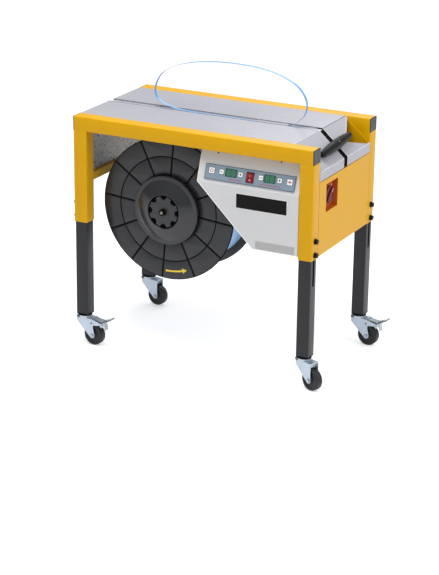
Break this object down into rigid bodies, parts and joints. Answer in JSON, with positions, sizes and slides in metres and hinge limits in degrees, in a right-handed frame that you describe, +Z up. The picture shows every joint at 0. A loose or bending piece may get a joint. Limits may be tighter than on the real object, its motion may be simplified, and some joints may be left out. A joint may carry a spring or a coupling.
{
  "type": "semi-automatic strapping machine",
  "caption": "Semi-automatic strapping machine on casters: yellow square-tube frame, grey slotted table with a sloping infeed, open side strap reel and tilted control strip.",
  "frame": {"origin": "on the floor, in the middle of the machine's footprint", "axes": "+X along the table towards the sloping strap infeed, +Y away from the operator, +Z up"},
  "size_m": [0.9914, 0.5242, 1.0014],
  "materials": {
    "black_enamel": "satin",
    "black_plastic": "fine texture",
    "black_rubber": "matt",
    "blue_grey_panel": "printed film",
    "blue_strap": "embossed",
    "bright_steel": "machined",
    "cast_aluminium": "as cast",
    "galvanised_sheet": "spangled zinc",
    "grey_table_enamel": "satin",
    "light_grey_cover": "satin",
    "red_plastic": "smooth",
    "switch_yellow": "smooth",
    "white_key": "smooth",
    "yellow_enamel": "gloss",
    "zinc_plate": "zinc plated"
  },
  "bodies": {
    "frame": {"cabinet_shell": "light_grey_cover", "control_panel": "blue_grey_panel", "end_panel": "yellow_enamel", "front_cover": "light_grey_cover", "front_left_leg_clamp": "black_plastic", "front_left_rail_cap": "black_plastic", "front_left_sleeve": "yellow_enamel", "front_rail": "yellow_enamel", "front_right_leg_clamp": "black_plastic", "front_right_rail_cap": "black_plastic", "front_right_sleeve": "yellow_enamel", "front_table_half": "grey_table_enamel", "gear_motor": "cast_aluminium", "left_cross_rail": "yellow_enamel", "left_end_panel": "galvanised_sheet", "main_switch_body": "switch_yellow", "rear_left_leg_clamp": "black_plastic", "rear_left_rail_cap": "black_plastic", "rear_left_sleeve": "yellow_enamel", "rear_rail": "yellow_enamel", "rear_right_leg_clamp": "black_plastic", "rear_right_rail_cap": "black_plastic", "rear_right_sleeve": "yellow_enamel", "rear_table_half": "grey_table_enamel", "reel_spindle": "bright_steel", "sealing_head": "cast_aluminium", "slope_channel": "black_plastic", "slope_grip": "black_plastic", "strap_feed_run": "blue_strap", "strap_loop": "blue_strap"},
    "front_left_leg_body": {"front_left_leg": "black_enamel"},
    "front_left_fork_body": {"front_left_caster_fork": "zinc_plate"},
    "front_left_wheel_body": {"front_left_wheel": "black_rubber"},
    "front_left_pedal_body": {"front_left_brake_pedal": "zinc_plate"},
    "front_right_leg_body": {"front_right_leg": "black_enamel"},
    "front_right_fork_body": {"front_right_caster_fork": "zinc_plate"},
    "front_right_wheel_body": {"front_right_wheel": "black_rubber"},
    "rear_left_leg_body": {"rear_left_leg": "black_enamel"},
    "rear_left_fork_body": {"rear_left_caster_fork": "zinc_plate"},
    "rear_left_wheel_body": {"rear_left_wheel": "black_rubber"},
    "rear_right_leg_body": {"rear_right_leg": "black_enamel"},
    "rear_right_fork_body": {"rear_right_caster_fork": "zinc_plate"},
    "rear_right_wheel_body": {"rear_right_wheel": "black_rubber"},
    "rear_right_pedal_body": {"rear_right_brake_pedal": "zinc_plate"},
    "stop_key_body": {"stop_key": "white_key"},
    "time_minus_key_body": {"time_minus_key": "white_key"},
    "time_plus_key_body": {"time_plus_key": "white_key"},
    "tension_minus_key_body": {"tension_minus_key": "white_key"},
    "tension_plus_key_body": {"tension_plus_key": "white_key"},
    "feed_key_body": {"feed_key": "white_key"},
    "rocker_body": {"power_rocker": "red_plastic"},
    "switch_dial_body": {"main_switch_dial": "red_plastic"},
    "reel": {"reel_front_flange": "black_plastic", "reel_rear_flange": "black_plastic", "strap_coil": "blue_strap", "reel_nut": "black_plastic"},
    "brake_lever_body": {"reel_brake_lever": "bright_steel"},
    "feed_roller_body": {"feed_roller": "black_rubber"},
    "press_roller_body": {"press_roller": "black_rubber"},
    "cam_shaft_body": {"cam_shaft": "bright_steel"}
  },
  "joints": [
    {"name": "front_left_leg_slide", "type": "slide", "parent": "frame", "child": "front_left_leg_body", "axis": [0, 0, 1], "range_m": [-0.045, 0.105]},
    {"name": "front_left_caster_swivel", "type": "hinge", "parent": "front_left_leg_body", "child": "front_left_fork_body", "pos_m": [-0.46014, -0.22223, 0.109], "axis": [0, 0, 1], "continuous": true},
    {"name": "front_left_wheel_spin", "type": "hinge", "parent": "front_left_fork_body", "child": "front_left_wheel_body", "pos_m": [-0.42126, -0.22536, 0.0375], "axis": [0.0802, 0.9968, 0], "continuous": true},
    {"name": "front_left_brake_pedal_hinge", "type": "hinge", "parent": "front_left_fork_body", "child": "front_left_pedal_body", "pos_m": [-0.42326, -0.2252, 0.082], "axis": [0.0802, 0.9968, 0], "range_deg": [0, 8]},
    {"name": "front_right_leg_slide", "type": "slide", "parent": "frame", "child": "front_right_leg_body", "axis": [0, 0, 1], "range_m": [-0.045, 0.105]},
    {"name": "front_right_caster_swivel", "type": "hinge", "parent": "front_right_leg_body", "child": "front_right_fork_body", "pos_m": [0.37986, -0.22223, 0.109], "axis": [0, 0, 1], "continuous": true},
    {"name": "front_right_wheel_spin", "type": "hinge", "parent": "front_right_fork_body", "child": "front_right_wheel_body", "pos_m": [0.41612, -0.23659, 0.0375], "axis": [0.3681, 0.9298, 0], "continuous": true},
    {"name": "rear_left_leg_slide", "type": "slide", "parent": "frame", "child": "rear_left_leg_body", "axis": [0, 0, 1], "range_m": [-0.045, 0.105]},
    {"name": "rear_left_caster_swivel", "type": "hinge", "parent": "rear_left_leg_body", "child": "rear_left_fork_body", "pos_m": [-0.46014, 0.23777, 0.109], "axis": [0, 0, 1], "continuous": true},
    {"name": "rear_left_wheel_spin", "type": "hinge", "parent": "rear_left_fork_body", "child": "rear_left_wheel_body", "pos_m": [-0.42159, 0.23187, 0.0375], "axis": [0.1513, 0.9885, 0], "continuous": true},
    {"name": "rear_right_leg_slide", "type": "slide", "parent": "frame", "child": "rear_right_leg_body", "axis": [0, 0, 1], "range_m": [-0.045, 0.105]},
    {"name": "rear_right_caster_swivel", "type": "hinge", "parent": "rear_right_leg_body", "child": "rear_right_fork_body", "pos_m": [0.37986, 0.23777, 0.109], "axis": [0, 0, 1], "continuous": true},
    {"name": "rear_right_wheel_spin", "type": "hinge", "parent": "rear_right_fork_body", "child": "rear_right_wheel_body", "pos_m": [0.41863, 0.23356, 0.0375], "axis": [0.108, 0.9942, 0], "continuous": true},
    {"name": "rear_right_brake_pedal_hinge", "type": "hinge", "parent": "rear_right_fork_body", "child": "rear_right_pedal_body", "pos_m": [0.41664, 0.23377, 0.082], "axis": [0.108, 0.9942, 0], "range_deg": [0, 8]},
    {"name": "stop_key_press", "type": "slide", "parent": "frame", "child": "stop_key_body", "axis": [0, 0.9433, -0.3319], "range_m": [0, 0.001], "stiffness_N_per_m": 400, "springref_m": -0.0005},
    {"name": "time_minus_key_press", "type": "slide", "parent": "frame", "child": "time_minus_key_body", "axis": [0, 0.9433, -0.3319], "range_m": [0, 0.001], "stiffness_N_per_m": 400, "springref_m": -0.0005},
    {"name": "time_plus_key_press", "type": "slide", "parent": "frame", "child": "time_plus_key_body", "axis": [0, 0.9433, -0.3319], "range_m": [0, 0.001], "stiffness_N_per_m": 400, "springref_m": -0.0005},
    {"name": "tension_minus_key_press", "type": "slide", "parent": "frame", "child": "tension_minus_key_body", "axis": [0, 0.9433, -0.3319], "range_m": [0, 0.001], "stiffness_N_per_m": 400, "springref_m": -0.0005},
    {"name": "tension_plus_key_press", "type": "slide", "parent": "frame", "child": "tension_plus_key_body", "axis": [0, 0.9433, -0.3319], "range_m": [0, 0.001], "stiffness_N_per_m": 400, "springref_m": -0.0005},
    {"name": "feed_key_press", "type": "slide", "parent": "frame", "child": "feed_key_body", "axis": [0, 0.9433, -0.3319], "range_m": [0, 0.001], "stiffness_N_per_m": 400, "springref_m": -0.0005},
    {"name": "power_rocker_tilt", "type": "hinge", "parent": "frame", "child": "rocker_body", "pos_m": [0.17571, -0.2355, 0.69425], "axis": [1, 0, 0], "range_deg": [-24, 0]},
    {"name": "main_switch_turn", "type": "hinge", "parent": "frame", "child": "switch_dial_body", "pos_m": [0.39066, -0.09723, 0.6345], "axis": [1, 0, 0], "range_deg": [0, 90]},
    {"name": "reel_spin", "type": "hinge", "parent": "frame", "child": "reel", "pos_m": [-0.16214, -0.17223, 0.5175], "axis": [0, -1, 0], "continuous": true},
    {"name": "reel_brake_lever_swing", "type": "hinge", "parent": "frame", "child": "brake_lever_body", "pos_m": [-0.16214, -0.17223, 0.5175], "axis": [0, 1, 0], "range_deg": [0, 26], "stiffness_Nm_per_rad": 2, "springref_deg": -22.92},
    {"name": "feed_roller_spin", "type": "hinge", "parent": "frame", "child": "feed_roller_body", "pos_m": [0.03436, 0.00777, 0.72], "axis": [0, 1, 0], "continuous": true},
    {"name": "press_roller_spin", "type": "hinge", "parent": "frame", "child": "press_roller_body", "pos_m": [0.07616, 0.00777, 0.72], "axis": [0, 1, 0], "continuous": true},
    {"name": "cam_shaft_turn", "type": "hinge", "parent": "frame", "child": "cam_shaft_body", "pos_m": [-0.04014, 0.00777, 0.67], "axis": [1, 0, 0], "continuous": true}
  ],
  "couplings": [
    {"joint": "press_roller_spin", "follows": "feed_roller_spin", "ratio": -1.5}
  ]
}
